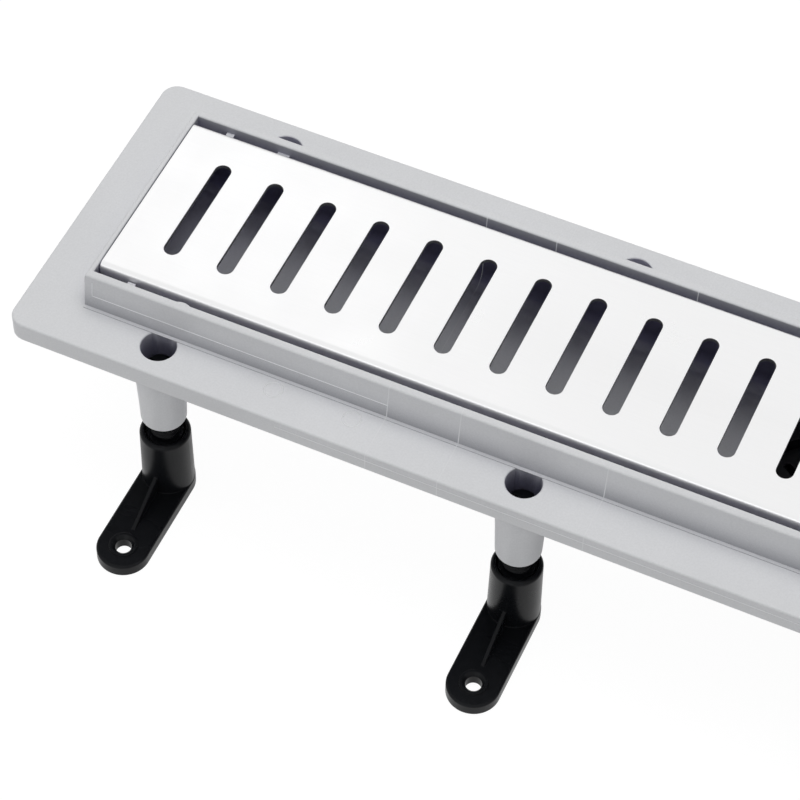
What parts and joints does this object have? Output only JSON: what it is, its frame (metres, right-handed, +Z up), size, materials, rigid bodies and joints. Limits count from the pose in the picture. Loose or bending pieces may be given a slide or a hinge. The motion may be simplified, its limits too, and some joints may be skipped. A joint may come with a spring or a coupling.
{
  "type": "linear shower drain",
  "caption": "Linear shower drain: slotted steel grate in a grey plastic channel with a raised rim and flange, on adjustable swivelling feet, with a trap and side outlet below.",
  "frame": {"origin": "on the floor under the middle of the drain", "axes": "+X along the drain, +Y towards the outlet pipe's side, +Z up"},
  "size_m": [0.5454, 0.1862, 0.091],
  "materials": {
    "grey_plastic": "satin moulded",
    "steel": "fine satin",
    "foot_plastic": "satin moulded",
    "trap_plastic": "satin moulded",
    "seal_rubber": "matte"
  },
  "bodies": {
    "channel": {"channel_body": "grey_plastic", "grate": "steel", "flange_washer": "seal_rubber", "outlet_flange": "trap_plastic", "hair_strainer": "trap_plastic", "trap_insert": "trap_plastic", "insert_o_ring": "seal_rubber", "trap_cup": "trap_plastic", "housing_gasket": "seal_rubber", "trap_housing": "trap_plastic", "outlet_seal": "seal_rubber", "outlet_nut": "trap_plastic"},
    "screw_1": {"leg_screw_1": "foot_plastic"},
    "foot_1": {"foot_1": "foot_plastic"},
    "screw_2": {"leg_screw_2": "foot_plastic"},
    "foot_2": {"foot_2": "foot_plastic"},
    "screw_3": {"leg_screw_3": "foot_plastic"},
    "foot_3": {"foot_3": "foot_plastic"},
    "screw_4": {"leg_screw_4": "foot_plastic"},
    "foot_4": {"foot_4": "foot_plastic"},
    "screw_5": {"leg_screw_5": "foot_plastic"},
    "foot_5": {"foot_5": "foot_plastic"},
    "screw_6": {"leg_screw_6": "foot_plastic"},
    "foot_6": {"foot_6": "foot_plastic"},
    "screw_7": {"leg_screw_7": "foot_plastic"},
    "foot_7": {"foot_7": "foot_plastic"},
    "screw_8": {"leg_screw_8": "foot_plastic"},
    "foot_8": {"foot_8": "foot_plastic"}
  },
  "joints": [
    {"name": "leg_height_1", "type": "slide", "parent": "channel", "child": "screw_1", "axis": [0, 0, -1], "range_m": [-0.0075, 0.015]},
    {"name": "foot_swivel_1", "type": "hinge", "parent": "screw_1", "child": "foot_1", "pos_m": [-0.2207, -0.049, 0.02], "axis": [0, 0, 1], "continuous": true},
    {"name": "leg_height_2", "type": "slide", "parent": "channel", "child": "screw_2", "axis": [0, 0, -1], "range_m": [-0.0075, 0.015]},
    {"name": "foot_swivel_2", "type": "hinge", "parent": "screw_2", "child": "foot_2", "pos_m": [-0.0875, -0.049, 0.02], "axis": [0, 0, 1], "continuous": true},
    {"name": "leg_height_3", "type": "slide", "parent": "channel", "child": "screw_3", "axis": [0, 0, -1], "range_m": [-0.0075, 0.015]},
    {"name": "foot_swivel_3", "type": "hinge", "parent": "screw_3", "child": "foot_3", "pos_m": [0.0875, -0.049, 0.02], "axis": [0, 0, 1], "continuous": true},
    {"name": "leg_height_4", "type": "slide", "parent": "channel", "child": "screw_4", "axis": [0, 0, -1], "range_m": [-0.0075, 0.015]},
    {"name": "foot_swivel_4", "type": "hinge", "parent": "screw_4", "child": "foot_4", "pos_m": [0.2207, -0.049, 0.02], "axis": [0, 0, 1], "continuous": true},
    {"name": "leg_height_5", "type": "slide", "parent": "channel", "child": "screw_5", "axis": [0, 0, -1], "range_m": [-0.0075, 0.015]},
    {"name": "foot_swivel_5", "type": "hinge", "parent": "screw_5", "child": "foot_5", "pos_m": [-0.2207, 0.049, 0.02], "axis": [0, 0, 1], "continuous": true},
    {"name": "leg_height_6", "type": "slide", "parent": "channel", "child": "screw_6", "axis": [0, 0, -1], "range_m": [-0.0075, 0.015]},
    {"name": "foot_swivel_6", "type": "hinge", "parent": "screw_6", "child": "foot_6", "pos_m": [-0.0875, 0.049, 0.02], "axis": [0, 0, 1], "continuous": true},
    {"name": "leg_height_7", "type": "slide", "parent": "channel", "child": "screw_7", "axis": [0, 0, -1], "range_m": [-0.0075, 0.015]},
    {"name": "foot_swivel_7", "type": "hinge", "parent": "screw_7", "child": "foot_7", "pos_m": [0.0875, 0.049, 0.02], "axis": [0, 0, 1], "continuous": true},
    {"name": "leg_height_8", "type": "slide", "parent": "channel", "child": "screw_8", "axis": [0, 0, -1], "range_m": [-0.0075, 0.015]},
    {"name": "foot_swivel_8", "type": "hinge", "parent": "screw_8", "child": "foot_8", "pos_m": [0.2207, 0.049, 0.02], "axis": [0, 0, 1], "continuous": true}
  ]
}
